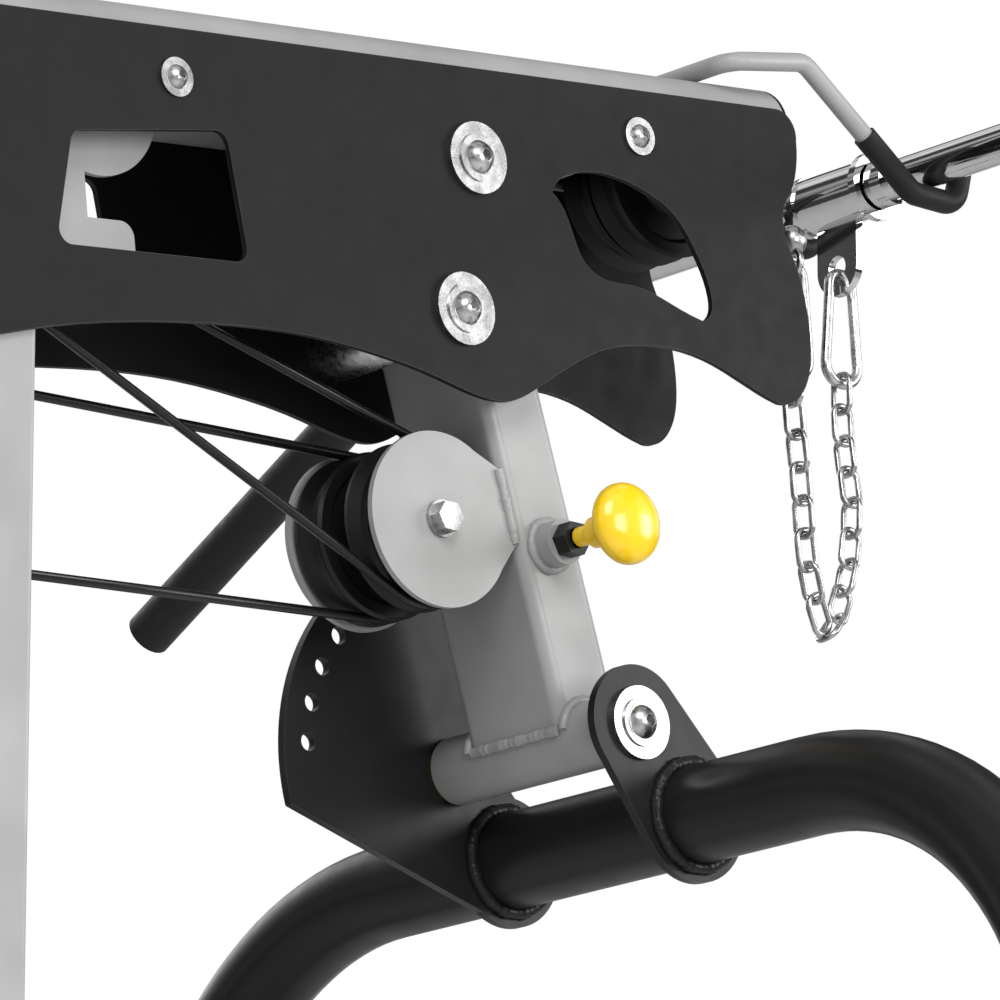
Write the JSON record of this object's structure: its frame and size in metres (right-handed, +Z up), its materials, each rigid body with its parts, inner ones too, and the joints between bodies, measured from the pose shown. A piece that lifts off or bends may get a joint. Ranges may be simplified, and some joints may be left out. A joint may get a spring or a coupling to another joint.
{
  "type": "lat pulldown machine",
  "caption": "Cable weight machine: overhead boom with a stowed lat bar on a chain, swinging press arm with pop-pin handles, weight stack, seat, back pad and thigh rollers.",
  "frame": {"origin": "on the floor under the stop bolt of the press arm, in the middle of the base rail's underside", "axes": "+X forward along the boom, +Y to the far side, +Z up"},
  "size_m": [1.2514, 1.4558, 2.0731],
  "materials": {
    "black_powder": "fine textured powder coat",
    "grey_paint": "satin",
    "black_paint": "semi-gloss",
    "zinc": "bright zinc",
    "chrome": "polished",
    "black_rubber": "matt",
    "black_nylon": "moulded",
    "cable_coat": "smooth coating",
    "yellow_plastic": "moulded",
    "brass": "bare",
    "plate_iron": "painted",
    "vinyl": "padded vinyl",
    "foam": "closed foam"
  },
  "bodies": {
    "frame": {"base_rail": "grey_paint", "cross_feet": "grey_paint", "foot_plugs": "black_nylon", "rear_mast": "grey_paint", "upright_posts": "grey_paint", "boom_tube": "grey_paint", "boom_end_caps": "black_nylon", "boom_plate_near": "black_powder", "boom_plate_far": "black_powder", "boom_button_bolts": "zinc", "arm_pivot_bolt": "zinc", "stop_bolt": "zinc", "hook_rod": "grey_paint", "hook_sleeves": "black_rubber", "inner_bracket": "black_paint", "pulley_hangers": "grey_paint", "disc_bracket": "grey_paint", "cable_anchors": "zinc", "guide_rods": "chrome", "rod_cushions": "black_rubber", "resting_plates": "plate_iron", "post_sleeves": "grey_paint", "back_pad": "vinyl", "lat_cable": "cable_coat", "cable_ball": "zinc", "cable_snap_hook": "zinc", "chain": "zinc", "press_cable_near": "cable_coat", "press_cable_far": "cable_coat"},
    "press_arm": {"press_upright": "grey_paint", "cross_bushes": "brass", "press_pulley_bolt": "zinc", "pop_pin_nut": "black_paint"},
    "press_pulley_near": {"press_pulley_near": "black_nylon"},
    "press_pulley_far": {"press_pulley_far": "black_nylon"},
    "pop_pin": {"pop_pin_shaft": "zinc", "pop_pin_knob": "yellow_plastic"},
    "handle": {"handle_tube": "black_paint", "handle_grips": "black_rubber", "handle_end_caps": "black_nylon", "sector_plate": "black_paint", "lug_plate": "black_paint", "handle_pivot_bolt": "zinc"},
    "window_pulley_near": {"window_pulley_near": "black_nylon"},
    "window_pulley_far": {"window_pulley_far": "black_nylon"},
    "stack_pulley_near": {"stack_pulley_near": "black_nylon"},
    "stack_pulley_far": {"stack_pulley_far": "black_nylon"},
    "stack_pulley_lat": {"stack_pulley_lat": "black_nylon"},
    "bar_swivel": {"bar_swivel": "chrome", "bar_snap_hook": "zinc"},
    "lat_bar": {"lat_bar": "chrome", "lat_bar_grips": "black_rubber"},
    "weight_carriage": {"lifted_plates": "plate_iron", "selector_stem": "zinc"},
    "selector_pin": {"selector_pin": "yellow_plastic"},
    "seat": {"seat_post": "grey_paint", "seat_pad": "vinyl"},
    "roller_post": {"roller_post": "grey_paint"},
    "thigh_roller_near": {"thigh_roller_near": "foam"},
    "thigh_roller_far": {"thigh_roller_far": "foam"}
  },
  "joints": [
    {"name": "press_arm_swing", "type": "hinge", "parent": "frame", "child": "press_arm", "pos_m": [0.0095, 0, 1.947], "axis": [0, -1, 0], "range_deg": [0, 40], "deforming": ["press_cable_near", "press_cable_far"]},
    {"name": "handle_adjust", "type": "hinge", "parent": "press_arm", "child": "handle", "pos_m": [0.11979, 0, 1.60957], "axis": [0, 1, 0], "range_deg": [0, 73.8]},
    {"name": "pop_pin_push", "type": "slide", "parent": "press_arm", "child": "pop_pin", "axis": [0, 1, 0], "range_m": [0, 0.0065]},
    {"name": "press_pulley_near_spin", "type": "hinge", "parent": "press_arm", "child": "press_pulley_near", "pos_m": [0.00257, -0.023, 1.72486], "axis": [0, 1, 0], "continuous": true},
    {"name": "press_pulley_far_spin", "type": "hinge", "parent": "press_arm", "child": "press_pulley_far", "pos_m": [0.00257, 0.023, 1.72486], "axis": [0, 1, 0], "continuous": true},
    {"name": "window_pulley_near_spin", "type": "hinge", "parent": "frame", "child": "window_pulley_near", "pos_m": [0.207, -0.012, 1.9865], "axis": [0, 1, 0], "continuous": true},
    {"name": "window_pulley_far_spin", "type": "hinge", "parent": "frame", "child": "window_pulley_far", "pos_m": [0.207, 0.012, 1.9865], "axis": [0, 1, 0], "continuous": true},
    {"name": "stack_pulley_near_spin", "type": "hinge", "parent": "frame", "child": "stack_pulley_near", "pos_m": [-0.4907, -0.023, 1.82712], "axis": [0, 1, 0], "continuous": true},
    {"name": "stack_pulley_far_spin", "type": "hinge", "parent": "frame", "child": "stack_pulley_far", "pos_m": [-0.4907, 0.023, 1.70935], "axis": [0, 1, 0], "continuous": true},
    {"name": "stack_pulley_lat_spin", "type": "hinge", "parent": "frame", "child": "stack_pulley_lat", "pos_m": [-0.5027, 0, 1.893], "axis": [0, 1, 0], "continuous": true},
    {"name": "bar_lift", "type": "slide", "parent": "frame", "child": "bar_swivel", "axis": [0, 0, 1], "range_m": [0, 0.045], "deforming": ["chain"]},
    {"name": "bar_turn", "type": "hinge", "parent": "bar_swivel", "child": "lat_bar", "pos_m": [0.395, 0.02, 2.022], "axis": [0.0175, 0.9998, 0], "range_deg": [-30, 30]},
    {"name": "weight_lift", "type": "slide", "parent": "frame", "child": "weight_carriage", "axis": [0, 0, 1], "range_m": [0, 0.32], "deforming": ["lat_cable"]},
    {"name": "selector_pull", "type": "slide", "parent": "weight_carriage", "child": "selector_pin", "axis": [0, -1, 0], "range_m": [0, 0.075]},
    {"name": "seat_height", "type": "slide", "parent": "frame", "child": "seat", "axis": [0, 0, 1], "range_m": [0, 0.12]},
    {"name": "roller_height", "type": "slide", "parent": "frame", "child": "roller_post", "axis": [0, 0, 1], "range_m": [0, 0.12]},
    {"name": "thigh_roller_near_spin", "type": "hinge", "parent": "roller_post", "child": "thigh_roller_near", "pos_m": [0.262, -0.123, 0.6], "axis": [0, 1, 0], "continuous": true},
    {"name": "thigh_roller_far_spin", "type": "hinge", "parent": "roller_post", "child": "thigh_roller_far", "pos_m": [0.262, 0.123, 0.6], "axis": [0, 1, 0], "continuous": true}
  ],
  "couplings": [
    {"joint": "weight_lift", "follows": "press_arm_swing", "m_per_rad": 0.35}
  ]
}
